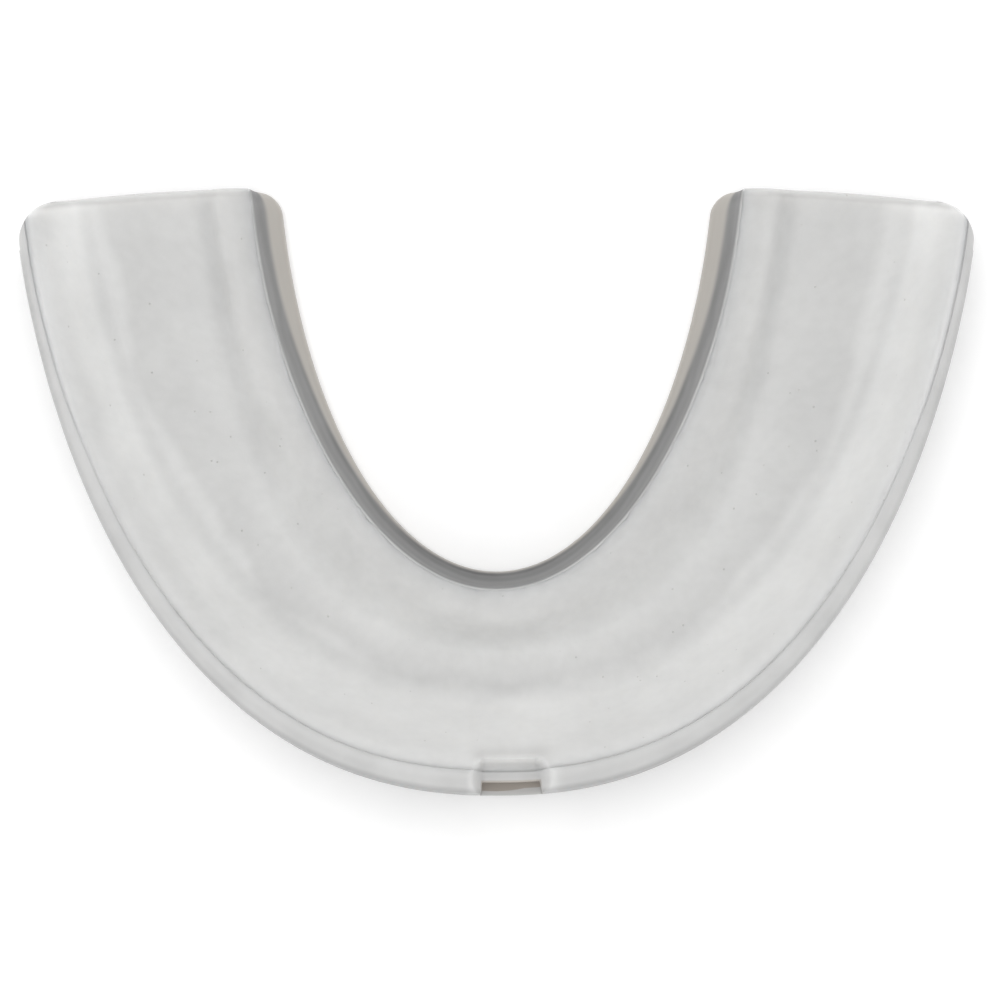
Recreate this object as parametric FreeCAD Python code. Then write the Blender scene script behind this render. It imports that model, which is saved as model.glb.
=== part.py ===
import FreeCAD, Part
import math
import os

# Boil-and-bite mouthguard for the upper teeth, in millimetres.
# X runs across the mouth, -Y is the front (lips), +Y the throat and +Z the gum side.
# The guard rests on its flat bite face at z = 0, and the origin is the middle of that footprint.

# Plan outline: the lip side is a superellipse and the tongue side an ellipse, both
# measured back from the front of the guard.
LIP_HALF_WIDTH = 33.8
LIP_HALF_LENGTH = 56.1
LIP_POWER = 2.26
LIP_BACK = 39.9
TONGUE_FRONT = 15.3
TONGUE_HALF_WIDTH = 15.0
TONGUE_HALF_LENGTH = 31.7
TONGUE_POWER = 2.0
TONGUE_BACK = 41.2
FOOTPRINT_LENGTH = 40.95
END_BULGE = 0.45
END_TRIM = 0.8
PLAN_MARGIN = 0.05
LIP_CORNER_RADIUS = 3.0
TONGUE_CORNER_RADIUS = 1.6

# Heights above the bite face, each given at the front of the arch and at the arm ends.
LIP_RIM_HEIGHT = (11.5, 7.0)
TONGUE_RIM_HEIGHT = (5.6, 4.9)
CHANNEL_FLOOR_HEIGHT = 3.5
SHELL_FLOOR_HEIGHT = 1.7

# The lip rim runs out lower over the last part of each arm.
LIP_RIM_END_DROP = 1.6
END_DROP_START = 0.86

# Cross-section widths, measured inward from the lip side (front of the arch, arm ends).
RIM_WIDTH = (1.75, 1.1)
RIM_CREST = (1.15, 0.65)
RIM_ROLL_HEIGHT = (1.5, 1.0)
ROLL_SHOULDER = 0.35
ROLL_LEVEL = 0.55
CREST_LEVEL = 0.3
CREASE_DEPTH = (0.2, 0.1)
CREASE_STEP = 0.1
FLOOR_START = (8.0, 5.4)
FLOOR_END = (9.6, 12.0)
LIP_DRAFT = 0.1
LIP_LINING_THICKNESS = 0.9

# Turns of the lining's lip slope, as shares of its run and of its drop.
SLOPE_SHOULDER_RUN = 0.32
SLOPE_SHOULDER_DROP = 0.16
SLOPE_FOOT_RUN = 0.55

# Cross-section widths, measured back from the tongue side.
TONGUE_FACE_RUN = (1.3, 1.9)
SHELL_LAND = 0.7
LINER_EDGE = 0.2
LINER_CREST = 1.4
LINER_EDGE_DROP = 0.62

BASE_EDGE_HEIGHT = 1.0
BASE_EDGE_RUN = 0.8
BELOW_BASE = 0.6
BLANK_OVERLAP = 0.4

# Frenum notch: a dip in the lip rim whose floor scoops up inward, over a shallow flat recess.
NOTCH_OFFSET = 1.0
NOTCH_WIDTH = 4.9
NOTCH_DEPTH = 2.6
NOTCH_CORNER = 0.9
SCOOP_RUN = 1.9
RECESS_WIDTH = 4.1
RECESS_DEPTH = 0.9
RECESS_BOTTOM = 2.0

STATIONS_PER_SIDE = 12
LENGTH_STEPS = 600
STEP_CROWDING = 1.3
CUT_SIZE = 200.0


def smooth_step(share):
    return share * share * (3.0 - 2.0 * share)


def ease(pair, share):
    """Size between a front value and an arm-end value, level at both ends."""
    return pair[0] + (pair[1] - pair[0]) * smooth_step(share)


def lip_rim_height(share):
    """Height of the lip rim at a share of the way from the front to the arm end."""
    end_part = max(0.0, share - END_DROP_START) / (1.0 - END_DROP_START)
    return ease(LIP_RIM_HEIGHT, share) - LIP_RIM_END_DROP * smooth_step(end_part)


def outline_point(angle, half_width, half_length, power):
    """Point of a superellipse, as (sideways, distance behind its front)."""
    across = half_width * math.sin(angle) ** (2.0 / power)
    back = half_length * (1.0 - math.cos(angle) ** (2.0 / power))
    return across, back


def even_points(half_width, half_length, power, reach):
    """Points evenly spaced by length along one half of an outline, from its front."""
    end_angle = math.acos((1.0 - reach / half_length) ** (power / 2.0))
    steps = range(LENGTH_STEPS + 1)
    angles = [end_angle * (step / LENGTH_STEPS) ** STEP_CROWDING for step in steps]
    points = [outline_point(angle, half_width, half_length, power) for angle in angles]
    lengths = [0.0]
    for before, after in zip(points, points[1:]):
        lengths.append(lengths[-1] + math.dist(before, after))
    spaced = []
    index = 0
    for station in range(STATIONS_PER_SIDE + 1):
        target = lengths[-1] * station / STATIONS_PER_SIDE
        while index < LENGTH_STEPS - 1 and lengths[index + 1] < target:
            index += 1
        part_way = (target - lengths[index]) / (lengths[index + 1] - lengths[index])
        angle = angles[index] + (angles[index + 1] - angles[index]) * part_way
        spaced.append(outline_point(angle, half_width, half_length, power))
    return spaced


class Station:
    """One upright plane across the arch, from the lip side to the tongue side."""

    def __init__(self, lip, tongue, share):
        middle = FOOTPRINT_LENGTH / 2.0
        self.lip = FreeCAD.Vector(lip[0], lip[1] - middle, 0.0)
        self.tongue = FreeCAD.Vector(tongue[0], tongue[1] + TONGUE_FRONT - middle, 0.0)
        self.inward = (self.tongue - self.lip).normalize()
        self.width = self.lip.distanceToPoint(self.tongue)
        self.share = share

    def point(self, inward, height):
        return self.lip + self.inward * inward + FreeCAD.Vector(0.0, 0.0, height)


def make_stations(extra):
    """Stations from the left arm end round to the right one, reaching back by an extra length."""
    lip = even_points(LIP_HALF_WIDTH, LIP_HALF_LENGTH, LIP_POWER, LIP_BACK + extra)
    tongue_reach = TONGUE_BACK - TONGUE_FRONT + extra
    tongue = even_points(TONGUE_HALF_WIDTH, TONGUE_HALF_LENGTH, TONGUE_POWER, tongue_reach)
    stations = []
    for index in range(-STATIONS_PER_SIDE, STATIONS_PER_SIDE + 1):
        side = 1.0 if index >= 0 else -1.0
        row = abs(index)
        lip_point = (side * lip[row][0], lip[row][1])
        tongue_point = (side * tongue[row][0], tongue[row][1])
        stations.append(Station(lip_point, tongue_point, row / STATIONS_PER_SIDE))
    return stations


def line(station, start, end):
    return Part.LineSegment(station.point(*start), station.point(*end)).toShape()


def bezier(station, *places):
    curve = Part.BezierCurve()
    curve.setPoles([station.point(*place) for place in places])
    return curve.toShape()


def shell_section(station):
    """Closed outline of the firm shell: lip wall with its rolled rim, base and tongue wall."""
    rim = lip_rim_height(station.share)
    land = ease(TONGUE_RIM_HEIGHT, station.share) - 0.5
    face_top = station.width - ease(TONGUE_FACE_RUN, station.share)
    wall = ease(RIM_WIDTH, station.share)
    crest = (ease(RIM_CREST, station.share), rim)
    roll_start = (LIP_DRAFT, rim - ease(RIM_ROLL_HEIGHT, station.share))
    roll_upright = (LIP_DRAFT, rim - ROLL_SHOULDER)
    roll_level = (crest[0] - ROLL_LEVEL, rim)
    crest_end = (crest[0] + CREST_LEVEL, rim)
    crease = (wall, rim - ease(CREASE_DEPTH, station.share) - CREASE_STEP)
    wall_drop = (wall + 0.1, SHELL_FLOOR_HEIGHT + 2.0)
    wall_turn = (wall + 1.2, SHELL_FLOOR_HEIGHT)
    floor_start = (ease(FLOOR_START, station.share) - LIP_LINING_THICKNESS, SHELL_FLOOR_HEIGHT)
    floor_end = (ease(FLOOR_END, station.share) + LIP_LINING_THICKNESS, SHELL_FLOOR_HEIGHT)
    land_inner = (face_top - SHELL_LAND, land)
    land_outer = (face_top, land - 0.15)
    slope_turn = (land_inner[0] - 2.0, SHELL_FLOOR_HEIGHT + 0.2)
    tongue_foot = (station.width, BASE_EDGE_HEIGHT)
    tongue_under = (station.width - BASE_EDGE_RUN, -BELOW_BASE)
    lip_under = (BASE_EDGE_RUN, -BELOW_BASE)
    lip_foot = (0.0, BASE_EDGE_HEIGHT)
    edges = [
        line(station, lip_foot, roll_start),
        bezier(station, roll_start, roll_upright, roll_level, crest),
        bezier(station, crest, crest_end, crease),
        bezier(station, crease, wall_drop, wall_turn, floor_start),
        line(station, floor_start, floor_end),
        bezier(station, floor_end, slope_turn, land_inner),
        line(station, land_inner, land_outer),
        line(station, land_outer, tongue_foot),
        line(station, tongue_foot, tongue_under),
        line(station, tongue_under, lip_under),
        line(station, lip_under, lip_foot),
    ]
    return Part.Wire(edges)


def liner_section(station):
    """Closed outline of the soft lining, sunk a little into the shell all round."""
    crest_height = ease(TONGUE_RIM_HEIGHT, station.share)
    face_top = station.width - ease(TONGUE_FACE_RUN, station.share)
    wall = ease(RIM_WIDTH, station.share)
    wall_top = lip_rim_height(station.share) - ease(CREASE_DEPTH, station.share)
    under = SHELL_FLOOR_HEIGHT - BLANK_OVERLAP
    floor_start = (ease(FLOOR_START, station.share), CHANNEL_FLOOR_HEIGHT)
    slope_run = floor_start[0] - wall
    slope_drop = wall_top - CHANNEL_FLOOR_HEIGHT
    slope_top = (wall, wall_top)
    slope_shoulder = (wall + SLOPE_SHOULDER_RUN * slope_run, wall_top - SLOPE_SHOULDER_DROP * slope_drop)
    slope_foot = (wall + SLOPE_FOOT_RUN * slope_run, CHANNEL_FLOOR_HEIGHT)
    sunk_top = (wall - BLANK_OVERLAP, wall_top - 0.6)
    floor_end = (ease(FLOOR_END, station.share), CHANNEL_FLOOR_HEIGHT)
    rise_turn = (floor_end[0] + 1.6, CHANNEL_FLOOR_HEIGHT)
    crest = (face_top - LINER_CREST, crest_height)
    crest_turn = (crest[0] - 1.2, crest_height)
    crest_round = (crest[0] + 0.6, crest_height)
    edge = (face_top - LINER_EDGE, crest_height - LINER_EDGE_DROP)
    sunk_edge = (edge[0] + 0.1, edge[1] - BLANK_OVERLAP)
    under_tongue = (face_top - 1.0, under)
    under_lip = (wall - BLANK_OVERLAP, under)
    edges = [
        bezier(station, slope_top, slope_shoulder, slope_foot, floor_start),
        line(station, floor_start, floor_end),
        bezier(station, floor_end, rise_turn, crest_turn, crest),
        bezier(station, crest, crest_round, edge),
        line(station, edge, sunk_edge),
        line(station, sunk_edge, under_tongue),
        line(station, under_tongue, under_lip),
        line(station, under_lip, sunk_top),
        line(station, sunk_top, slope_top),
    ]
    return Part.Wire(edges)


def loft_sections(section, stations):
    return Part.makeLoft([section(station) for station in stations], True, False)


def through_points(points):
    curve = Part.BSplineCurve()
    curve.interpolate(points)
    return curve.toShape()


def arm_end_edge(station, backward):
    """Slightly bulging edge across the end of one arm."""
    start = station.point(-PLAN_MARGIN, 0.0)
    end = station.point(station.width + PLAN_MARGIN, 0.0)
    middle = (start + end) * 0.5 + backward * END_BULGE
    return Part.Arc(start, middle, end).toShape()


def plan_prism():
    """Upright prism over the plan outline, with the corners of both arm ends rounded."""
    stations = make_stations(0.0)
    up = FreeCAD.Vector(0.0, 0.0, 1.0)
    left, right = stations[0], stations[-1]
    lip_side = through_points([place.point(-PLAN_MARGIN, 0.0) for place in stations])
    tongue_side = through_points([place.point(place.width + PLAN_MARGIN, 0.0) for place in stations])
    edges = [
        lip_side,
        arm_end_edge(right, right.inward.cross(up) * -1.0),
        tongue_side,
        arm_end_edge(left, left.inward.cross(up)),
    ]
    face = Part.Face(Part.Wire(Part.__sortEdges__(edges)))
    face.translate(up * -CUT_SIZE / 2.0)
    prism = face.extrude(up * CUT_SIZE)
    return round_arm_corners(prism, left, right)


def round_arm_corners(prism, left, right):
    """Rounds the upright edges of a prism at the four corners of the arm ends."""
    corners = []
    for end in (left, right):
        corners.append((end.point(-PLAN_MARGIN, 0.0), LIP_CORNER_RADIUS))
        corners.append((end.point(end.width + PLAN_MARGIN, 0.0), TONGUE_CORNER_RADIUS))
    for corner, radius in corners:
        upright = [
            edge for edge in prism.Edges
            if edge.Length > CUT_SIZE / 2.0 and edge.distToShape(Part.Vertex(corner))[0] < 0.01
        ]
        prism = prism.makeFillet(radius, upright)
    return prism


def block_below(height):
    low = FreeCAD.Vector(-CUT_SIZE / 2.0, -CUT_SIZE / 2.0, height - CUT_SIZE)
    return Part.makeBox(CUT_SIZE, CUT_SIZE, CUT_SIZE, low)


def notch_cutter():
    """Slot through the lip rim, open above, with a floor that scoops up inward."""
    left = NOTCH_OFFSET - NOTCH_WIDTH / 2.0
    front = -FOOTPRINT_LENGTH / 2.0
    bottom = LIP_RIM_HEIGHT[0] - NOTCH_DEPTH
    scoop_start = FreeCAD.Vector(left, front + RECESS_DEPTH, bottom)
    scoop_turn = scoop_start + FreeCAD.Vector(0.0, SCOOP_RUN / 2.0, 0.0)
    scoop_end = scoop_start + FreeCAD.Vector(0.0, SCOOP_RUN, NOTCH_DEPTH)
    top = bottom + 2.0 * NOTCH_DEPTH
    inner_top = FreeCAD.Vector(left, scoop_end.y + SCOOP_RUN / 2.0, top)
    outer_top = FreeCAD.Vector(left, front - 1.0, top)
    outer_low = FreeCAD.Vector(left, front - 1.0, bottom)
    scoop = Part.BezierCurve()
    scoop.setPoles([scoop_start, scoop_turn, scoop_end])
    edges = [
        Part.LineSegment(outer_low, scoop_start).toShape(),
        scoop.toShape(),
        Part.LineSegment(scoop_end, inner_top).toShape(),
        Part.LineSegment(inner_top, outer_top).toShape(),
        Part.LineSegment(outer_top, outer_low).toShape(),
    ]
    slot = Part.Face(Part.Wire(edges)).extrude(FreeCAD.Vector(NOTCH_WIDTH, 0.0, 0.0))
    floor_edges = [
        edge for edge in slot.Edges
        if edge.BoundBox.XLength < 0.01 and edge.BoundBox.ZMin < bottom + 0.01
        and edge.BoundBox.YLength > 1.0 and edge.BoundBox.ZMax < top - 0.01
    ]
    return slot.makeFillet(NOTCH_CORNER, floor_edges)


def recess_cutter():
    """Flat-bottomed recess in the lip face, from the notch down to the base lip."""
    left = NOTCH_OFFSET - RECESS_WIDTH / 2.0
    low = FreeCAD.Vector(left, -FOOTPRINT_LENGTH / 2.0 - 1.0, RECESS_BOTTOM)
    return Part.makeBox(RECESS_WIDTH, 1.0 + RECESS_DEPTH, LIP_RIM_HEIGHT[0], low)


def make_shell(shell_blank, prism):
    trimmed = shell_blank.common(prism)
    return trimmed.cut([block_below(0.0), notch_cutter(), recess_cutter()])


def make_liner(stations, shell_blank, prism):
    trimmed = loft_sections(liner_section, stations).common(prism)
    return trimmed.cut([shell_blank, notch_cutter()])


def main():
    os.makedirs("parts", exist_ok=True)
    stations = make_stations(END_TRIM)
    shell_blank = loft_sections(shell_section, stations)
    prism = plan_prism()
    nodes = {
        "outer_shell": make_shell(shell_blank, prism),
        "fitting_liner": make_liner(stations, shell_blank, prism),
    }
    for name, shape in nodes.items():
        print(name, len(shape.Solids), "solid", shape.isValid(), round(shape.Volume, 1), "mm3")
        shape.Solids[0].exportStep("parts/" + name + ".step")


main()
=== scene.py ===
"""Looks of a boil-and-bite mouthguard: a clear firm shell with a milky soft lining."""

import math

import bpy
import numpy as np
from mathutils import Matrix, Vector, noise


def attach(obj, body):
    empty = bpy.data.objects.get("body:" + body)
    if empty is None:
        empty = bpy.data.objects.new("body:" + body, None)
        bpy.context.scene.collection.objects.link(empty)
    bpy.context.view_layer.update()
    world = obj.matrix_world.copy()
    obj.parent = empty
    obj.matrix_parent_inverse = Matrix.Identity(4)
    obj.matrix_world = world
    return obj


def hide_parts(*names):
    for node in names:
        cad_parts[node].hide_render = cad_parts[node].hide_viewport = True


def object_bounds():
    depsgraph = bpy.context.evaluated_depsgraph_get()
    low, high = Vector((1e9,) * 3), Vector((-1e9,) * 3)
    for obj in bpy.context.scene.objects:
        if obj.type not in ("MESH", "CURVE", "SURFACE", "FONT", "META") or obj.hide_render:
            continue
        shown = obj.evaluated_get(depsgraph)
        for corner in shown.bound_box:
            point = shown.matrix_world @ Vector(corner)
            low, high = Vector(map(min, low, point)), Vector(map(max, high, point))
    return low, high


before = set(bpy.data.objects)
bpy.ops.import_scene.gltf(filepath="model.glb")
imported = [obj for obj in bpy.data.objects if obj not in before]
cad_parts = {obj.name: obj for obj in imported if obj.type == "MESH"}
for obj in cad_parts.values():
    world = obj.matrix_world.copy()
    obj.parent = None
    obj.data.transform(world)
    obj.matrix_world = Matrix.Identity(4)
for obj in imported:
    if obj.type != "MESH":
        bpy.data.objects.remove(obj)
cad_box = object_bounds()

MM = 0.001

# Plan outline, in millimetres back from the front of the guard: superellipse on the lip
# side, ellipse on the tongue side. The sizes are the CAD model's own.
LIP_HALF_WIDTH = 33.8
LIP_HALF_LENGTH = 56.1
LIP_POWER = 2.26
LIP_BACK = 39.9
TONGUE_FRONT = 15.3
TONGUE_HALF_WIDTH = 15.0
TONGUE_HALF_LENGTH = 31.7
TONGUE_POWER = 2.0
TONGUE_BACK = 41.2
END_BULGE = 0.45
LIP_CORNER_RADIUS = 3.0
TONGUE_CORNER_RADIUS = 1.6
OUTLINE_SPARE = 1.5
OUTLINE_STEPS = 4000
OUTLINE_CROWDING = 1.3

# Arm ends: share of the arch where rows turn square to the arm and where the ends swell, the
# fillet round each end face, and the cut of the round lip corner.
SQUARE_START = 0.6
BULGE_START = 0.9
END_FILLET = 0.22
FILLET_FADE = (1.0, 4.0)
CUT_BLEND = 0.08
CUT_SLOPE = 0.01
CUT_REACH = 1.0
CUT_EDGE = 0.2
CUT_RISE = 20.0
CUT_SOFTNESS = 0.04
SHELL_CUT_SPARE = 0.03

# Heights above the bite face, at the front of the arch and at the arm ends.
LIP_RIM_HEIGHT = (11.5, 7.0)
LIP_RIM_END_DROP = 1.6
END_DROP_START = 0.86
TONGUE_RIM_HEIGHT = (5.6, 4.9)
CHANNEL_FLOOR_HEIGHT = 3.5
SHELL_FLOOR_HEIGHT = 1.7
BASE_EDGE_HEIGHT = 1.0
LAND_DROP = 0.5

# Widths in the cross-section, measured inward from the lip side.
RIM_WIDTH = (1.75, 1.1)
RIM_CREST = (1.15, 0.65)
RIM_ROLL_HEIGHT = (1.5, 1.0)
FLOOR_START = (8.0, 5.4)
FLOOR_END = (9.6, 12.0)
LIP_DRAFT = (0.12, 0.08)
LIP_LINING_THICKNESS = 0.9
CREASE_DEPTH = (0.20, 0.0)
CREASE_STEP = (0.12, 0.0)

# Widths in the cross-section, measured back from the tongue side.
TONGUE_FACE_RUN = (1.3, 1.9)
SHELL_LAND = 0.7
LINER_EDGE = 0.10
LINER_CREST = 1.4
LAYER_OVERLAP = 0.03

# Points that bend the shell's curves, as distances from the ends of the curves. On the tongue
# face, FACE_BEND holds shares of the face's run and of the land's height, FACE_LOW_BEND a share of
# the run and a height, and the FOOT points a distance from the tongue side and a height.
BASE_LIP_ROUND = 0.9
BASE_LIP_BEND = 0.1
DRAFT_POWER = 1.5
ROLL_BULGE = 0.02
ROLL_SHOULDER = 0.35
ROLL_LEVEL = 0.65
CREST_LEVEL = 0.3
CREASE_RUN = 0.06
CREASE_TURN = 0.6
WALL_FOOT_STEP = 0.1
WALL_FOOT_RISE = 2.0
WALL_FOOT_RUN = 1.2
TROUGH_BEND = (2.0, 0.2)
LAND_EDGE = 0.22
LAND_SLOPE = 0.03
LAND_CORNER = 0.05
FACE_TOP = (0.1, 0.35)
FACE_BEND = (0.35, 0.45)
FACE_LOW_BEND = (0.5, 1.9)
FOOT_TOP = (0.3, 1.25)
FOOT_BEND = (0.05, 1.1)
FOOT_EDGE_HEIGHT = 0.75
BASE_TONGUE_BEND = 0.05
BASE_TONGUE_ROUND = 0.8

# The same for the lining's curves. Its lip edge is a thin feather over the rim on the arms and
# is buried in the shell at the front. SLOPE_SHOULDER holds shares of the lip slope's run and drop,
# SLOPE_FOOT a share of the run and a height.
FEATHER_RUN = (0.35, 0.75)
FEATHER_LIFT = 0.03
FEATHER_WIDTH = 0.45
FEATHER_BEND = 0.3
FEATHER_SINK = 0.05
BURIED_DEPTH = 0.45
BURIED_BEND = 0.1
SLOPE_SHOULDER = (0.32, 0.16)
SLOPE_FOOT = (0.45, 0.02)
FLOOR_SAG = 0.08
CLIMB_START = 1.8
CLIMB_END = 1.6
CREST_ROUND = (0.55, 0.02)
EDGE_ROUND = (0.02, 0.05)
LINER_WALL_LAP = 0.1
LINER_WALL_DROP = 0.5

# Frenum notch and the trimmed recess under it. A side gives where its slope starts and ends,
# measured from the edge of the notch or recess.
NOTCH_OFFSET = 1.0
NOTCH_WIDTH = 4.9
NOTCH_DEPTH = 2.6
NOTCH_SCOOP = 0.75
NOTCH_SCOOP_REACH = 6.0
NOTCH_SOFTNESS = 0.4
NOTCH_LEFT_SIDE = (-0.8, 0.6)
NOTCH_RIGHT_SIDE = (-0.7, 1.2)
NOTCH_SIDE_RISE = 0.4
NOTCH_SIDE_REACH = 1.2
NOTCH_CLEARANCE = 1.4
NOTCH_LINING_LIFT = 0.03
NOTCH_LINING_SINK = 0.08
NOTCH_LINING_COVER = 0.6
RECESS_WIDTH = 4.1
RECESS_LEFT_SIDE = (-0.06, 0.06)
RECESS_RIGHT_SIDE = (-0.06, 0.1)
RECESS_PLANE = 0.9
RECESS_LIP = 0.3
RECESS_BOTTOM = 2.0
LEDGE_GROWTH = 0.16
LEDGE_GROWTH_RUN = (0.7, 2.2)
LEDGE_SHARE = 0.05

# Heights of the points on the lip face: steps above the bottom of the recess, then shares of
# the way up to the rolled rim.
LEDGE_STEPS = (0.0, 0.03, 0.06, 0.12, 0.25)
FACE_STEPS = np.linspace(0.1, 0.95, 12)

# Irregularities along the arch: size, wavelength in millimetres and seed.
RIM_WAVE = (0.04, 9.0, 1.7)
LEDGE_WAVE = (0.05, 0.9, 3.3)
LAND_WAVE = (0.05, 4.0, 8.3)
LINER_EDGE_WAVE = (0.07, 2.3, 5.2)
LINER_EDGE_RIPPLE = (0.04, 0.8, 9.4)
NICK_WAVE = (1.0, 1.6, 2.6)
NICK_START = 0.35
NICK_DEPTH = 0.30
MILKY_WAVE = (1.0, 7.0, 4.4)
MILKY_RIPPLE = (0.35, 2.6, 6.1)
# The next wave shifts the painted highlight streaks on the tongue face.
HIGHLIGHT_STREAK_WAVE = (3.0, 6.0, 7.7)
WAVE_PLANE = 0.5

# Mesh density, in millimetres between rows or in rows.
ROW_SPACING = 0.4
FINE_SPACING = 0.04
FINE_REACH = (-0.7, 0.9)
LEAST_SPACING = 0.3 * FINE_SPACING
PLACE_DIGITS = 6
CORNER_ROWS = 36
CORNER_STOP = 1.2
FILLET_ROWS = 4
SHARP_ANGLE = 40.0
LEAST_LENGTH = 1e-6

# Tones of the lining, from 0 for its darker colour to 1 for its lighter one. A run gives where
# a change of tone starts and ends, in millimetres or as a share of the arch or of the climb.
LINING_TONE = 0.44
# Painted light: a lighter band up the lip slope of the lining, fading towards the rim.
SLOPE_LIGHT_TONE = (0.21, 0.26)
SLOPE_FADE = 0.9
SLOPE_RISE_RUN = (0.0, 0.15)
SLOPE_FADE_RUN = (0.4, 0.85)
SLOPE_END_RUN = (8.0, 9.0)
# Painted light that lifts the shade at the foot of the tongue climb.
FOOT_LIGHT_TONE = (0.31, 0.05)
FOOT_PLACE = 0.8
FOOT_SPREAD = 2.1
MIDDLE_PLACE = 7.6
MIDDLE_SHIFT = 1.3
MIDDLE_SHIFT_RUN = (0.0, 0.9)
MIDDLE_EDGE = 0.5
MIDDLE_TONE = 0.23
# Painted shade: a soft dark line along the valley at the foot of the tongue climb, on the arms.
VALLEY_SHADE_PLACE = (11.0, 12.6)
VALLEY_SHADE_SPREAD = 0.4
VALLEY_SHADE_TONE = 0.03
VALLEY_SHADE_RUN = (0.35, 0.6)
# Painted shade that dulls the lit top of the lining near the tongue side.
CREST_SHADE_TONE = 0.10
CREST_RUN = (4.5, 3.0)
# Painted light over the lining's seam with the rim on the arms, and painted shade in the crease at
# the front.
SEAM_ARM_LIGHT_TONE = 0.12
CREASE_SHADE_TONE = 0.22
SEAM_RUN = (0.05, 0.2)
PLAIN_RUN = (0.35, 0.65)
# Painted shade in the notch's scoop.
SCOOP_SHADE_TONE = 0.45
SCOOP_RUN = (2.6, 3.6)
# Painted shade on the lining at the arm ends.
LINING_END_SHADE_TONE = 0.9
LINING_END_RUN = (0.985, 1.0)

# Tones of the shell, in the same way.
SHELL_TONE = 0.76
# Painted shade and reflection of the dark surroundings on the clear tongue face, darker at the front
# and on the right.
FACE_SHADE_TONE = 0.64
FACE_EDGE = 0.06
FACE_FRONT_SHADE_TONE = 0.08
FACE_RIGHT_SHADE_TONE = 0.03
FRONT_RUN = (0.1, 0.6)
# Painted highlight streaks across the tongue face.
HIGHLIGHT_STREAK_TONE = 0.03
HIGHLIGHT_STREAK_TURNS = 19.0
# Painted reflection: the warm floor seen through the foot of the tongue face.
FOOT_REFLECTION_START = (0.9, 0.40)
FOOT_REFLECTION_RUN = (-0.08, 0.12)
FOOT_REFLECTION_SHARE = 0.85
# Painted shade on the outer lip face, stronger at the front.
LIP_SHADE_TONE = 0.25
LIP_RUN = (0.0, 0.6)
LIP_END_RUN = (0.88, 0.95)
LEDGE_MARGIN = 0.1
# Painted light that lifts the shade on the notch's flanks.
FLANK_LIGHT_TONE = 0.6
FLANK_RUN = (2.0, 3.0)
# Painted shade on the shell at the arm ends.
SHELL_END_SHADE_TONE = 0.2
SHELL_END_RUN = (0.975, 1.0)
# Brown trimmed surface with painted shadow, in the recess under the notch.
SCAR_AND_SHADOW_EDGE = 0.04
SCAR_AND_SHADOW_WALL_RUN = (0.02, 0.15)

# Colours.
MILKY_DARK = (0.50, 0.50, 0.495, 1.0)
MILKY_LIGHT = (0.82, 0.82, 0.81, 1.0)
SPECK_COLOUR = (0.30, 0.29, 0.28, 1.0)
SHELL_DARK = (0.12, 0.12, 0.12, 1.0)
SHELL_LIGHT = (0.66, 0.66, 0.655, 1.0)
# Colour of the painted floor reflection on the foot of the tongue face.
FOOT_REFLECTION_COLOUR = (0.46, 0.435, 0.40, 1.0)
# Colour of the trimmed recess with its painted shadow.
SCAR_AND_SHADOW_COLOUR = (0.365, 0.33, 0.295, 1.0)
FLOOR_DARK = (0.95, 0.95, 0.95, 1.0)
FLOOR_LIGHT = (0.98, 0.98, 0.98, 1.0)
WHITE = (1.0, 1.0, 1.0, 1.0)

# Materials. A cloud or grain is a noise's scale per metre, its detail and its roughness; bumps and
# scatter scales are in metres.
NOISE_RANGE = (0.3, 0.7)
EVA_IOR = 1.48
LINING_CLOUD = (190.0, 4.0, 0.6)
LINING_GRAIN = (1500.0, 3.0, 0.55)
LINING_MOTTLE = (0.09, 0.03)
LINING_ROUGHNESS = (0.36, 0.50)
LINING_SCATTER = (1.0, 0.97, 0.94)
LINING_SCATTER_SCALE = 0.002
LINING_BUMPS = (0.00005, 0.000012, 0.00003)
SHELL_CLOUD = (260.0, 3.0, 0.55)
SHELL_GRAIN = (1900.0, 3.0, 0.55)
SHELL_MOTTLE = 0.06
SHELL_ROUGHNESS = (0.34, 0.46)
SHELL_SCATTER = (1.0, 0.97, 0.92)
SHELL_SCATTER_SHARE = 0.4
SHELL_SCATTER_SCALE = 0.001
SHELL_BUMPS = (0.00004, 0.00001)
FLOOR_GRAIN = (400.0, 3.0, 0.55)
FLOOR_ROUGHNESS = 0.9
FLOOR_SPECULAR = 0.1
SPECK_SCALE = 900.0
SPECK_SIZE = 0.075
SPECK_CHOICE = (0.30, 0.40)
SPECK_STRENGTH = 0.35

# Stage, light and camera, in metres, degrees and watts.
FLOOR_SIZE = 4.0
FLOOR_GAP = 0.00002
FLOOR_GLOW = 0.1
SOFTBOX_PLACE = (-0.12, 0.12, 1.0)
SOFTBOX_SIZE = 0.6
SOFTBOX_POWER = 2.2
WORLD_STRENGTH = 0.97
CAMERA_DISTANCE = 0.6
CAMERA_ELEVATION = 88.0
CAMERA_FIELD = 0.0679
CAMERA_AIM = (0.00024, -0.0004, 0.004)
CAMERA_CLIP = 0.01
SENSOR_WIDTH = 36.0


# ---------------------------------------------------------------- plan outline

def half_outline(half_width, half_length, power, reach):
    """Dense samples along one half of an outline: sideways, back and length so far."""
    end_angle = math.acos((1.0 - reach / half_length) ** (power / 2.0))
    angle = end_angle * np.linspace(0.0, 1.0, OUTLINE_STEPS) ** OUTLINE_CROWDING
    across = half_width * np.sin(angle) ** (2.0 / power)
    back = half_length * (1.0 - np.cos(angle) ** (2.0 / power))
    steps = np.hypot(np.diff(across), np.diff(back))
    return across, back, np.concatenate([[0.0], np.cumsum(steps)])


def length_at(outline, reach):
    """Length of an outline from its front to the place that lies a reach behind it."""
    return float(np.interp(reach, outline[1], outline[2]))


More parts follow.
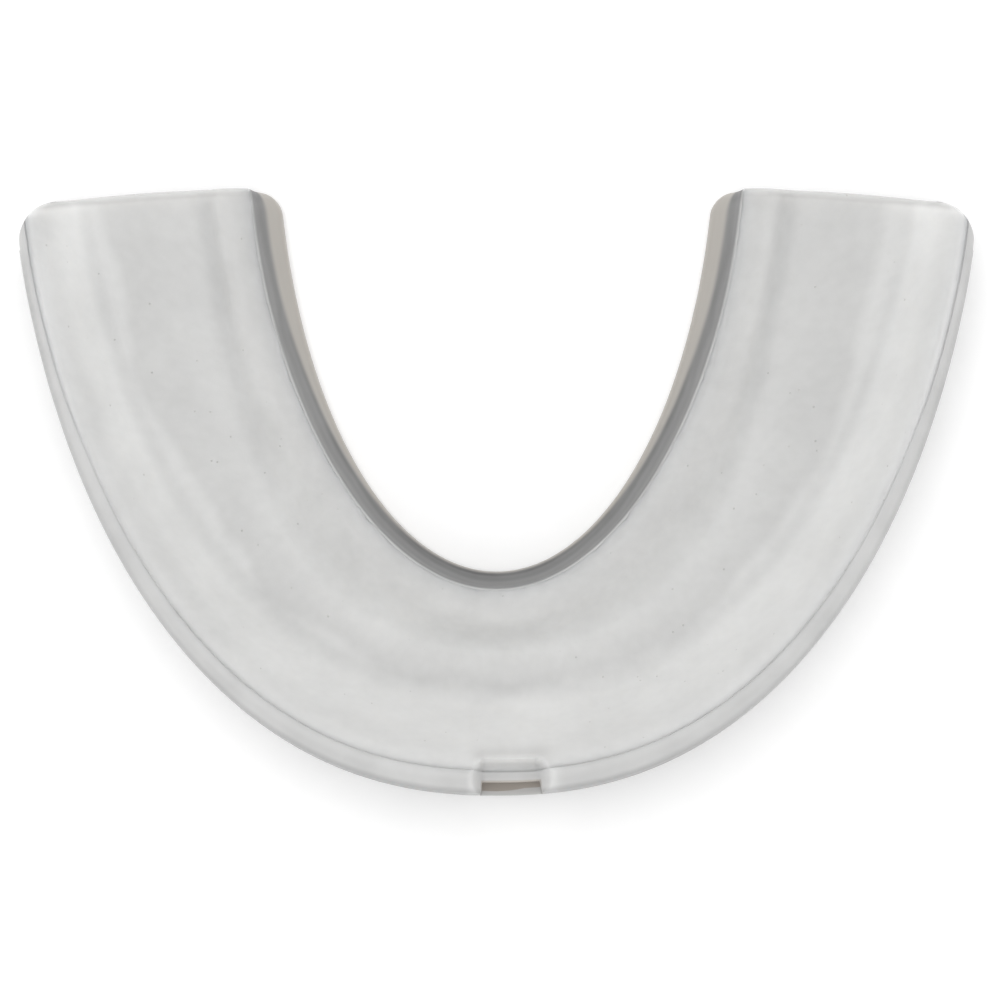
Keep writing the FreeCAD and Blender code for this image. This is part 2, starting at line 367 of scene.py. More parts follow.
LIP = half_outline(LIP_HALF_WIDTH, LIP_HALF_LENGTH, LIP_POWER, LIP_BACK + OUTLINE_SPARE)
TONGUE = half_outline(
    TONGUE_HALF_WIDTH, TONGUE_HALF_LENGTH, TONGUE_POWER, TONGUE_BACK - TONGUE_FRONT + OUTLINE_SPARE
)
LIP_LENGTH = length_at(LIP, LIP_BACK)
TONGUE_LENGTH = length_at(TONGUE, TONGUE_BACK - TONGUE_FRONT)
MEAN_LENGTH = (LIP_LENGTH + TONGUE_LENGTH) / 2.0


def outline_place(outline, full_length, front, share):
    """Plan place on an outline at a signed share of its half length."""
    run = np.abs(share) * full_length
    across = np.sign(share) * np.interp(run, outline[2], outline[0])
    back = np.interp(run, outline[2], outline[1]) + front
    return across, back


def smooth_step(value, low, high):
    """Smooth rise from 0 at a low value to 1 at a high one."""
    step = np.clip((value - low) / (high - low), 0.0, 1.0)
    return step * step * (3.0 - 2.0 * step)


def ease(pair, share):
    """Size between a front value and an arm-end value, level at both ends."""
    return pair[0] + (pair[1] - pair[0]) * smooth_step(np.abs(share), 0.0, 1.0)


# ---------------------------------------------------------------- rows along the arch

def row_list():
    """Signed row places (-1 to 1) and how far each row is shrunk for the end fillet."""
    arm = MEAN_LENGTH
    even = np.linspace(0.0, 1.0 - LIP_CORNER_RADIUS / arm, int(arm / ROW_SPACING))
    turn = np.linspace(0.0, math.pi / 2.0, CORNER_ROWS)
    corner = LIP_CORNER_RADIUS * (1.0 - np.sin(turn))
    corner = corner[corner > END_FILLET * CORNER_STOP]
    half = np.concatenate([even, 1.0 - corner[1:] / arm, [1.0 - END_FILLET / arm]])
    notch_edges = []
    for edge in (NOTCH_OFFSET - NOTCH_WIDTH / 2.0, NOTCH_OFFSET + NOTCH_WIDTH / 2.0):
        fine = np.arange(edge + FINE_REACH[0], edge + FINE_REACH[1], FINE_SPACING)
        notch_edges.append(fine / LIP_LENGTH)
    regular = np.unique(np.round(np.concatenate([-half, half] + notch_edges), PLACE_DIGITS))
    keep = np.concatenate([[True], np.diff(regular) > LEAST_SPACING / LIP_LENGTH])
    regular = regular[keep]
    tilt = np.linspace(0.0, math.pi / 2.0, FILLET_ROWS + 1)[1:]
    ends = 1.0 - END_FILLET * (1.0 - np.sin(tilt)) / arm
    shrink = END_FILLET * (1.0 - np.cos(tilt))
    places = np.concatenate([-ends[::-1], regular, ends])
    shrinks = np.concatenate([shrink[::-1], np.zeros(len(regular)), shrink])
    return places, shrinks


ROWS, ROW_SHRINK = row_list()


def row_share(place, fraction):
    """Share of the outline's length for a row, at a fraction of the way from lip to tongue.

    Rows keep an even share along the arch, and turn square to the arms near their ends.
    """
    outline_length = LIP_LENGTH + (TONGUE_LENGTH - LIP_LENGTH) * fraction
    near_end = smooth_step(np.abs(place), SQUARE_START, 1.0)
    length = outline_length * (1.0 - near_end) + MEAN_LENGTH * near_end
    swell = END_BULGE * (1.0 - (2.0 * fraction - 1.0) ** 2)
    bulge = swell * smooth_step(np.abs(place), BULGE_START, 1.0)
    share = 1.0 - ((1.0 - np.abs(place)) * length - bulge) / outline_length
    return np.sign(place) * share


def plan_places(place, inward, width):
    """Plan x and y, in the row frame, of points at a distance inward from the lip side."""
    fraction = inward / width
    share = row_share(place, fraction)
    lip_x, lip_y = outline_place(LIP, LIP_LENGTH, 0.0, share)
    tongue_x, tongue_y = outline_place(TONGUE, TONGUE_LENGTH, TONGUE_FRONT, share)
    x = lip_x + (tongue_x - lip_x) * fraction
    y = lip_y + (tongue_y - lip_y) * fraction
    return x, y + cad_box[0][1] / MM


def row_widths():
    """Width of the arch at each row, from the lip side to the tongue side."""
    lip_x, lip_y = outline_place(LIP, LIP_LENGTH, 0.0, ROWS)
    tongue_x, tongue_y = outline_place(TONGUE, TONGUE_LENGTH, TONGUE_FRONT, ROWS)
    return np.hypot(tongue_x - lip_x, tongue_y - lip_y)


WIDTHS = row_widths()
ROW_X = outline_place(LIP, LIP_LENGTH, 0.0, ROWS)[0]


# ---------------------------------------------------------------- cross-section pieces

def straight(start, end, count):
    """Rows of points from start up to, not including, end. Each is a pair of row arrays."""
    step = np.arange(count) / count
    across = start[0][:, None] + (end[0] - start[0])[:, None] * step
    height = start[1][:, None] + (end[1] - start[1])[:, None] * step
    return across, height


def curved(corners, count):
    """Rows of points along a Bezier curve, not including its last point."""
    step = np.arange(count) / count
    degree = len(corners) - 1
    across = 0.0
    height = 0.0
    for index, (corner_across, corner_height) in enumerate(corners):
        weight = math.comb(degree, index) * step ** index * (1.0 - step) ** (degree - index)
        across = across + corner_across[:, None] * weight
        height = height + corner_height[:, None] * weight
    return across, height


def joined(parts):
    """Rows of points of several parts of an outline, one after another."""
    across = np.concatenate([part[0] for part in parts], axis=1)
    height = np.concatenate([part[1] for part in parts], axis=1)
    return across, height


def at(across, height):
    """Point given for every row, from row arrays or plain numbers."""
    return np.zeros(len(ROWS)) + across, np.zeros(len(ROWS)) + height


def row_wave(wave):
    """Smooth noise for each row, from a wave's size, wavelength and seed."""
    size, wavelength, seed = wave
    run = ROWS * LIP_LENGTH / wavelength
    return size * np.array([noise.noise(Vector((value, seed, WAVE_PLANE))) for value in run])


def opening_share(width, left_side, right_side):
    """How far each row is in an opening of the lip wall: 0 outside and 1 between its sides."""
    left = NOTCH_OFFSET - width / 2.0
    right = NOTCH_OFFSET + width / 2.0
    opening = smooth_step(ROW_X, left + left_side[0], left + left_side[1])
    closing = 1.0 - smooth_step(ROW_X, right + right_side[0], right + right_side[1])
    return opening * closing


def notch_share():
    """How far each row is in the frenum notch: 0 outside and 1 on its floor."""
    return opening_share(NOTCH_WIDTH, NOTCH_LEFT_SIDE, NOTCH_RIGHT_SIDE)


def recess_share():
    """How far each row is in the recess under the notch: 0 outside and 1 inside."""
    return opening_share(RECESS_WIDTH, RECESS_LEFT_SIDE, RECESS_RIGHT_SIDE)


def soft_lower(height, limit, blend):
    """Smaller of two heights, with the change between them rounded over a blend height."""
    return height - blend * np.logaddexp(0.0, (height - limit) / blend)


def notched(across, height):
    """Lowers the lip rim to the notch's floor, a scoop that rises inward and to its sides."""
    inward = np.clip(across - RECESS_PLANE, 0.0, NOTCH_SCOOP_REACH)
    floor = LIP_RIM_HEIGHT[0] - NOTCH_DEPTH + NOTCH_SCOOP * inward ** 2
    offset = np.abs(ROW_X - NOTCH_OFFSET)[:, None] / (NOTCH_WIDTH / 2.0)
    floor = floor + NOTCH_SIDE_RISE * np.clip(offset, 0.0, NOTCH_SIDE_REACH) ** 3
    limit = floor + NOTCH_CLEARANCE * NOTCH_DEPTH * (1.0 - notch_share())[:, None]
    return soft_lower(height, limit, NOTCH_SOFTNESS)


def lip_rim():
    """Height of the lip rim along the arch, with its run-out at the arm ends."""
    drop = LIP_RIM_END_DROP * smooth_step(np.abs(ROWS), END_DROP_START, 1.0)
    return ease(LIP_RIM_HEIGHT, ROWS) - drop + row_wave(RIM_WAVE)


# ---------------------------------------------------------------- outer shell

def lip_face(face_top):
    """Outer face of the lip wall, from the base edge up to the rolled rim."""
    low = RECESS_BOTTOM + LEDGE_STEPS[-1]
    ledge = [np.full(len(ROWS), RECESS_BOTTOM + step) for step in LEDGE_STEPS]
    side = low + (face_top - low)[:, None] * FACE_STEPS
    height = np.concatenate([np.stack(ledge, axis=1), side], axis=1)
    steps = (height - BASE_EDGE_HEIGHT) / (face_top - BASE_EDGE_HEIGHT)[:, None]
    across = ease(LIP_DRAFT, ROWS)[:, None] * steps ** DRAFT_POWER
    return across, height


def ledge_width():
    """Width of the base lip left outside the recess, which wanders along its edge."""
    growth = LEDGE_GROWTH * smooth_step(ROW_X, *LEDGE_GROWTH_RUN)
    return RECESS_LIP + growth + row_wave(LEDGE_WAVE)


def recessed(across, height):
    """Presses the flat recess under the notch into the lip face, above the base lip."""
    lip = (ledge_width() / RECESS_PLANE)[:, None]
    low, shelf, scar_and_shadow, wall = (RECESS_BOTTOM + step for step in LEDGE_STEPS[:4])
    pressed = lip * np.clip((height - low) / (shelf - low), 0.0, 1.0)
    pressed = pressed + LEDGE_SHARE * np.clip((height - shelf) / (scar_and_shadow - shelf), 0.0, 1.0)
    rest = 1.0 - LEDGE_SHARE - lip
    pressed = pressed + rest * np.clip((height - scar_and_shadow) / (wall - scar_and_shadow), 0.0, 1.0)
    share = recess_share()[:, None] * pressed
    return np.maximum(across, across + (RECESS_PLANE - across) * share)


def rolled_rim(rim):
    """Rolled top of the lip wall: a wide outer round, a crest and a slight dip to the crease."""
    draft = ease(LIP_DRAFT, ROWS)
    width = ease(RIM_WIDTH, ROWS) - draft
    crest = draft + ease(RIM_CREST, ROWS)
    low = rim - ease(RIM_ROLL_HEIGHT, ROWS)
    outer = [
        at(draft, low),
        at(draft + ROLL_BULGE, rim - ROLL_SHOULDER),
        at(crest - ROLL_LEVEL, rim),
        at(crest, rim),
    ]
    dip = rim - ease(CREASE_DEPTH, ROWS)
    step = ease(CREASE_STEP, ROWS)
    end = draft + width
    inner = [
        at(crest, rim),
        at(crest + CREST_LEVEL, rim),
        at(end - CREASE_RUN, dip + CREASE_TURN * step),
        at(end, dip - step),
    ]
    return joined([curved(outer, count=18), curved(inner, count=8)])


def shell_profile():
    """Closed outlines of the shell for all rows, as its upper chain and its base."""
    width = WIDTHS
    rim = lip_rim()
    face_top = rim - ease(RIM_ROLL_HEIGHT, ROWS)
    wall = ease(RIM_WIDTH, ROWS)
    wall_top = rim - ease(CREASE_DEPTH, ROWS) - ease(CREASE_STEP, ROWS)
    floor = SHELL_FLOOR_HEIGHT
    floor_start = ease(FLOOR_START, ROWS) - LIP_LINING_THICKNESS
    floor_end = ease(FLOOR_END, ROWS) + LIP_LINING_THICKNESS
    face_run = ease(TONGUE_FACE_RUN, ROWS)
    top = width - face_run
    land = ease(TONGUE_RIM_HEIGHT, ROWS) - LAND_DROP
    land_inner = top - SHELL_LAND
    waver = row_wave(LAND_WAVE)
    land_edge = at(top - LAND_EDGE + waver, land - LAND_SLOPE)
    face_top_point = at(top + FACE_TOP[0], land - FACE_TOP[1])
    foot_top = at(width - FOOT_TOP[0], FOOT_TOP[1])
    foot_edge = at(width, FOOT_EDGE_HEIGHT)
    base_round = [at(BASE_LIP_ROUND, 0.0), at(BASE_LIP_BEND, 0.0), at(0.0, BASE_EDGE_HEIGHT)]
    inner_wall = [
        at(wall, wall_top),
        at(wall + WALL_FOOT_STEP, floor + WALL_FOOT_RISE),
        at(wall + WALL_FOOT_RUN, floor),
        at(floor_start, floor),
    ]
    inner_climb = [
        at(floor_end, floor),
        at(land_inner - TROUGH_BEND[0], floor + TROUGH_BEND[1]),
        at(land_inner, land),
    ]
    tongue_face = [
        face_top_point,
        at(top + FACE_BEND[0] * face_run, land * FACE_BEND[1]),
        at(top + FACE_LOW_BEND[0] * face_run, FACE_LOW_BEND[1]),
        foot_top,
    ]
    back_round = [foot_edge, at(width - BASE_TONGUE_BEND, 0.0), at(width - BASE_TONGUE_ROUND, 0.0)]
    upper = [
        curved(base_round, count=7),
        lip_face(face_top),
        rolled_rim(rim),
        curved(inner_wall, count=12),
        straight(at(floor_start, floor), at(floor_end, floor), count=5),
        curved(inner_climb, count=10),
        straight(at(land_inner, land), land_edge, count=6),
        curved([land_edge, at(top + waver, land - LAND_CORNER), face_top_point], count=5),
        curved(tongue_face, count=14),
        curved([foot_top, at(width - FOOT_BEND[0], FOOT_BEND[1]), foot_edge], count=6),
        curved(back_round, count=6),
    ]
    across, height = joined(upper)
    height = notched(across, height)
    across = recessed(across, height)
    base_across, base_height = straight(back_round[-1], base_round[0], count=30)
    return across, height, base_across, base_height


# ---------------------------------------------------------------- soft lining

def liner_profile():
    """Closed outlines of the lining for all rows, as its upper chain and its underside."""
    wall = ease(RIM_WIDTH, ROWS)
    wall_top = lip_rim() - ease(CREASE_DEPTH, ROWS)
    crest_height = ease(TONGUE_RIM_HEIGHT, ROWS)
    top = WIDTHS - ease(TONGUE_FACE_RUN, ROWS)
    floor_start = ease(FLOOR_START, ROWS)
    floor_end = ease(FLOOR_END, ROWS)
    floor = CHANNEL_FLOOR_HEIGHT
    run = floor_start - wall
    drop = wall_top - floor
    nicks = row_wave(LINER_EDGE_WAVE) + row_wave(LINER_EDGE_RIPPLE)
    nicks = nicks - NICK_DEPTH * np.clip(row_wave(NICK_WAVE) - NICK_START, 0.0, 1.0)
    crest = top - LINER_CREST + nicks / 2.0
    edge = top - LINER_EDGE + nicks
    land = crest_height - LAND_DROP - LAYER_OVERLAP
    feather = smooth_step(np.abs(ROWS), *FEATHER_RUN)
    buried = 1.0 - feather
    wall_top = wall_top + FEATHER_LIFT * feather
    lip_edge = [
        at(wall - FEATHER_WIDTH, wall_top - FEATHER_SINK - BURIED_DEPTH * buried),
        at(wall - FEATHER_BEND, wall_top + FEATHER_LIFT * feather - BURIED_BEND * buried),
        at(wall, wall_top),
    ]
    slope = [
        at(wall, wall_top),
        at(wall + SLOPE_SHOULDER[0] * run, wall_top - SLOPE_SHOULDER[1] * drop),
        at(floor_start - SLOPE_FOOT[0] * run, floor + SLOPE_FOOT[1]),
        at(floor_start, floor),
    ]
    trough = [
        at(floor_start, floor),
        at((floor_start + floor_end) / 2.0, floor - FLOOR_SAG),
        at(floor_end, floor),
    ]
    climb = [
        at(floor_end, floor),
        at(floor_end + CLIMB_START, floor),
        at(crest - CLIMB_END, crest_height),
        at(crest, crest_height),
    ]
    tongue_edge = [
        at(crest, crest_height),
        at(crest + CREST_ROUND[0], crest_height + CREST_ROUND[1]),
        at(edge - EDGE_ROUND[0], crest_height - EDGE_ROUND[1]),
        at(edge, land),
    ]
    upper = [
        curved(lip_edge, count=6),
        curved(slope, count=32),
        curved(trough, count=14),
        curved(climb, count=22),
        curved(tongue_edge, count=12),
    ]
    across, height = joined(upper)
    hidden = 1.0 - smooth_step(across, (wall - FEATHER_WIDTH)[:, None], wall[:, None])
    lift = NOTCH_LINING_LIFT - NOTCH_LINING_SINK * hidden
    height = notched(across, height) + lift * notch_share()[:, None]
    land_inner = top - SHELL_LAND
    shell_start = floor_start - LIP_LINING_THICKNESS
    shell_end = floor_end + LIP_LINING_THICKNESS
    base = SHELL_FLOOR_HEIGHT - LAYER_OVERLAP
    notch_foot = LIP_RIM_HEIGHT[0] - NOTCH_DEPTH - NOTCH_LINING_COVER
    wall_foot = np.minimum(wall_top - LINER_WALL_DROP, notch_foot)
    descent = [
        at(land_inner, land),
        at(land_inner - TROUGH_BEND[0], base + TROUGH_BEND[1]),
        at(shell_end, base),
    ]
    back_wall = [
        at(shell_start, base),
        at(wall + WALL_FOOT_RUN, base),
        at(wall + WALL_FOOT_STEP, base + WALL_FOOT_RISE),
        at(wall - LINER_WALL_LAP, wall_foot),
    ]
    under = [
        straight(at(edge, land), at(land_inner, land), count=4),
        curved(descent, count=10),
        straight(at(shell_end, base), at(shell_start, base), count=5),
        curved(back_wall, count=12),
    ]
    under_across, under_height = joined(under)
    return across, height, under_across, under_height


# ---------------------------------------------------------------- meshes

def corner_cut(radius):
    """How far a round corner at the arm ends cuts into each row."""
    before_end = (1.0 - np.abs(ROWS)) * MEAN_LENGTH
    reach = np.clip(radius - before_end, 0.0, radius)
    return radius - np.sqrt(radius * radius - reach * reach)


def cut_heights(cut):
    """Height of the guard's upper surface at the place where each row is cut."""
    rim_across, rim_height = rolled_rim(lip_rim())
    lining_across, lining_height = liner_profile()[:2]
    heights = np.zeros(len(ROWS))
    for row, place in enumerate(cut):
        beyond = lining_across[row] > rim_across[row][-1]
        across = np.concatenate([rim_across[row], lining_across[row][beyond]])
        height = np.concatenate([rim_height[row], lining_height[row][beyond]])
        heights[row] = np.interp(place, across, height)
    return heights


def round_arm_ends(across, height, spare):
    """Cuts the lip corners of the arm ends round, plus a spare, and draws the tongue corners in."""
    cut = corner_cut(LIP_CORNER_RADIUS)
    limit = cut_heights(cut)[:, None]
    cut = cut[:, None]
    run = ease(TONGUE_FACE_RUN, ROWS)[:, None]
    tongue_part = np.clip(1.0 - (WIDTHS[:, None] - across) / run, 0.0, 1.0)
    drawn = across - corner_cut(TONGUE_CORNER_RADIUS)[:, None] * tongue_part
    kept = cut + spare + CUT_BLEND * np.logaddexp(0.0, (across - cut) / CUT_BLEND)
    kept = kept + CUT_SLOPE * (across - cut)
    near = (cut > 0.0) & (across < cut + CUT_REACH)
    beyond = np.maximum(across - cut, 0.0)
    lowered = soft_lower(height, limit + CUT_RISE * beyond, CUT_SOFTNESS)
    return np.where(near, kept, drawn), np.where(near & (beyond < CUT_EDGE), lowered, height)


def shrink_rows(across, height, fade):
    """Moves each closed outline inward by its row's shrink, for the fillet of the arm ends."""
    forward_across = np.roll(across, -1, axis=1) - np.roll(across, 1, axis=1)
    forward_height = np.roll(height, -1, axis=1) - np.roll(height, 1, axis=1)
    length = np.maximum(np.hypot(forward_across, forward_height), LEAST_LENGTH)
    shrink = ROW_SHRINK[:, None] * fade
    return across + shrink * forward_height / length, height - shrink * forward_across / length


def zip_chains(upper, lower, across):
    """Triangles that close an end between two chains of points that run the same way."""
    faces = []
    i = 0
    j = 0
    while i < len(upper) - 1 or j < len(lower) - 1:
        upper_next = across[upper[i + 1]] if i < len(upper) - 1 else math.inf
        lower_next = across[lower[j + 1]] if j < len(lower) - 1 else math.inf
        if upper_next <= lower_next:
            faces.append((upper[i], upper[i + 1], lower[j]))
            i += 1
        else:
            faces.append((upper[i], lower[j + 1], lower[j]))
            j += 1
    return faces


def sweep(name, profile, spare):
    """Closed piece swept along the arch from a profile, with its points before they are cut."""
    across, height, under_across, under_height = profile
    upper_count = across.shape[1]
    across = np.concatenate([across, under_across], axis=1)
    height = np.concatenate([height, under_height], axis=1)
    row_count, loop = across.shape
    flat_across = across.copy()
    across, height = round_arm_ends(across, height, spare)
    across, height = shrink_rows(across, height, smooth_step(flat_across, *FILLET_FADE))
    x, y = plan_places(ROWS[:, None], across, WIDTHS[:, None])
    points = np.stack([x, y, height], axis=2).reshape(-1, 3) * MM
    faces = []
    for row in range(row_count - 1):
        first = row * loop
        second = first + loop
        for index in range(loop):
            after = (index + 1) % loop
            faces.append((first + index, second + index, second + after, first + after))
    upper = list(range(upper_count))
    lower = [0] + list(range(loop - 1, upper_count - 1, -1))
    for row, turned in ((0, True), (row_count - 1, False)):
        for face in zip_chains(upper, lower, flat_across[row]):
            face = tuple(row * loop + index for index in face)
            faces.append(face if turned else face[::-1])
    mesh = bpy.data.meshes.new(name)
    mesh.from_pydata(points.tolist(), [], faces)
    mesh.validate()
    mesh.update()
    mesh.shade_smooth()
    mesh.set_sharp_from_angle(angle=math.radians(SHARP_ANGLE))
    piece = bpy.data.objects.new(name, mesh)
    bpy.context.scene.collection.objects.link(piece)
    return piece, flat_across, height


# ---------------------------------------------------------------- materials

def add_node(tree, kind, **settings):
    """New shader node with some of its properties set."""
    node = tree.nodes.new(kind)
    for name, value in settings.items():
        setattr(node, name, value)
    return node


def noise_value(tree, coordinates, scale, detail, roughness):
    """Value of a noise texture, with its scale per metre."""
    node = add_node(tree, "ShaderNodeTexNoise")
    node.inputs["Scale"].default_value = scale
    node.inputs["Detail"].default_value = detail
    node.inputs["Roughness"].default_value = roughness
    tree.links.new(coordinates, node.inputs["Vector"])
    return node.outputs["Fac"]


def mapped(tree, value, low, high, to_low, to_high):
    """Value moved from one range to another."""
    node = add_node(tree, "ShaderNodeMapRange")
    node.inputs["From Min"].default_value = low
    node.inputs["From Max"].default_value = high
    node.inputs["To Min"].default_value = to_low
    node.inputs["To Max"].default_value = to_high
    tree.links.new(value, node.inputs["Value"])
    return node.outputs["Result"]


def spread(tree, value, low, high):
    """Noise value moved from its usual range to another."""
    return mapped(tree, value, NOISE_RANGE[0], NOISE_RANGE[1], low, high)


def math_value(tree, operation, first, second):
    """Result of a math node on two values, each a plain number or a socket."""
    node = add_node(tree, "ShaderNodeMath", operation=operation)
    for socket, value in zip(node.inputs, (first, second)):
        if isinstance(value, float):
            socket.default_value = value
        else:
            tree.links.new(value, socket)
    return node.outputs["Value"]


def mixed_colour(tree, share, first, second):
    """Mix of two colours, each a plain colour or a socket."""
    node = add_node(tree, "ShaderNodeMix", data_type="RGBA")
    tree.links.new(share, node.inputs["Factor"])
    first_socket, second_socket = (socket for socket in node.inputs if socket.type == "RGBA")
    for socket, value in ((first_socket, first), (second_socket, second)):
        if isinstance(value, tuple):
            socket.default_value = value
        else:
            tree.links.new(value, socket)
    return next(socket for socket in node.outputs if socket.type == "RGBA")


def start_material(name):
    """New node material, with its tree, its shader and the object coordinates."""
    material = bpy.data.materials.new(name)
    material.use_nodes = True
    tree = material.node_tree
    shader = tree.nodes["Principled BSDF"]
    coordinates = add_node(tree, "ShaderNodeTexCoord").outputs["Object"]
    return material, tree, shader, coordinates


def attribute(tree, name):
    """Value stored on the mesh under a name."""
    return add_node(tree, "ShaderNodeAttribute", attribute_name=name).outputs["Fac"]


def add_specks(tree, coordinates):
    """Sparse small round marks: 1 in a mark, 0 elsewhere."""
    dots = add_node(tree, "ShaderNodeTexVoronoi")
    dots.inputs["Scale"].default_value = SPECK_SCALE
    tree.links.new(coordinates, dots.inputs["Vector"])
    distance = dots.outputs["Distance"]
    round_marks = mapped(tree, distance, SPECK_SIZE / 2.0, SPECK_SIZE, 1.0, 0.0)
    chosen = add_node(tree, "ShaderNodeSeparateColor")
    tree.links.new(dots.outputs["Color"], chosen.inputs["Color"])
    few = mapped(tree, chosen.outputs["Red"], SPECK_CHOICE[0], SPECK_CHOICE[1], 0.0, 1.0)
    return math_value(tree, "MULTIPLY", round_marks, few)


def add_bump(tree, shader, parts):
    """Chains bump from (height value, distance in metres) pairs into the shader's normal."""
    normal = None
    for height, distance in parts:
        bump = add_node(tree, "ShaderNodeBump")
        bump.inputs["Strength"].default_value = 1.0
        bump.inputs["Distance"].default_value = distance
        tree.links.new(height, bump.inputs["Height"])
        if normal is not None:
            tree.links.new(normal, bump.inputs["Normal"])
        normal = bump.outputs["Normal"]
    tree.links.new(normal, shader.inputs["Normal"])


def lining_material():
    """Milky, strongly scattering soft plastic with faint clouds and dust specks."""
    material, tree, shader, coordinates = start_material("milky_eva_lining")
    cloud = noise_value(tree, coordinates, *LINING_CLOUD)
    fine = noise_value(tree, coordinates, *LINING_GRAIN)
    # The tone carries painted light and shade besides the lining's greyer middle.
    tone = attribute(tree, "tone")
    mottled = math_value(tree, "ADD", tone, spread(tree, cloud, -LINING_MOTTLE[0], LINING_MOTTLE[0]))
    fine_mottle = spread(tree, fine, -LINING_MOTTLE[1], LINING_MOTTLE[1])
    mottled = math_value(tree, "ADD", mottled, fine_mottle)
    colour = mixed_colour(tree, mottled, MILKY_DARK, MILKY_LIGHT)
    specks = add_specks(tree, coordinates)
    speck_share = math_value(tree, "MULTIPLY", specks, SPECK_STRENGTH)
    colour = mixed_colour(tree, speck_share, colour, SPECK_COLOUR)
    tree.links.new(colour, shader.inputs["Base Color"])
    tree.links.new(spread(tree, cloud, *LINING_ROUGHNESS), shader.inputs["Roughness"])
    shader.inputs["IOR"].default_value = EVA_IOR
    shader.inputs["Subsurface Weight"].default_value = 1.0
    shader.inputs["Subsurface Radius"].default_value = LINING_SCATTER
    shader.inputs["Subsurface Scale"].default_value = LINING_SCATTER_SCALE
    add_bump(tree, shader, zip((cloud, fine, specks), LINING_BUMPS))
    return material


def shell_material():
    """Clear firm plastic, as a grey with painted shade and reflection on its tongue face, a painted
    floor reflection on its foot and a brown trimmed patch with painted shadow.
    """
    material, tree, shader, coordinates = start_material("clear_eva_shell")
    cloud = noise_value(tree, coordinates, *SHELL_CLOUD)
    fine = noise_value(tree, coordinates, *SHELL_GRAIN)
    # The tone carries painted shade, reflection and highlight; the next two attributes paint a floor
    # reflection on the foot and shadow on the brown trimmed patch.
    tone = attribute(tree, "tone")
    foot_reflection = attribute(tree, "foot_reflection")
    # Brown trimmed patch with painted shadow in the recess under the notch.
    scar_and_shadow = attribute(tree, "scar_and_shadow")
    shade = math_value(tree, "ADD", tone, spread(tree, cloud, -SHELL_MOTTLE, SHELL_MOTTLE))
    colour = mixed_colour(tree, shade, SHELL_DARK, SHELL_LIGHT)
    colour = mixed_colour(tree, foot_reflection, colour, FOOT_REFLECTION_COLOUR)
    colour = mixed_colour(tree, scar_and_shadow, colour, SCAR_AND_SHADOW_COLOUR)
    tree.links.new(colour, shader.inputs["Base Color"])
    tree.links.new(spread(tree, cloud, *SHELL_ROUGHNESS), shader.inputs["Roughness"])
    shader.inputs["IOR"].default_value = EVA_IOR
    shader.inputs["Subsurface Weight"].default_value = SHELL_SCATTER_SHARE
    shader.inputs["Subsurface Radius"].default_value = SHELL_SCATTER
    shader.inputs["Subsurface Scale"].default_value = SHELL_SCATTER_SCALE
    add_bump(tree, shader, zip((cloud, fine), SHELL_BUMPS))
    return material


def floor_material():
    """White floor that glows a little."""
    material, tree, shader, coordinates = start_material("studio_floor")
    grain = noise_value(tree, coordinates, *FLOOR_GRAIN)
    colour = mixed_colour(tree, grain, FLOOR_DARK, FLOOR_LIGHT)
    tree.links.new(colour, shader.inputs["Base Color"])
    shader.inputs["Roughness"].default_value = FLOOR_ROUGHNESS
    shader.inputs["Specular IOR Level"].default_value = FLOOR_SPECULAR
    shader.inputs["Emission Color"].default_value = WHITE
    shader.inputs["Emission Strength"].default_value = FLOOR_GLOW
    return material


# ---------------------------------------------------------------- tones over the surfaces, with painted light and shade

def set_values(piece, name, values):
    """Stores a value between 0 and 1 for every point of a piece."""
    data = piece.data.attributes.new(name, "FLOAT", "POINT")
    data.data.foreach_set("value", np.clip(values, 0.0, 1.0).reshape(-1).astype(np.float32))


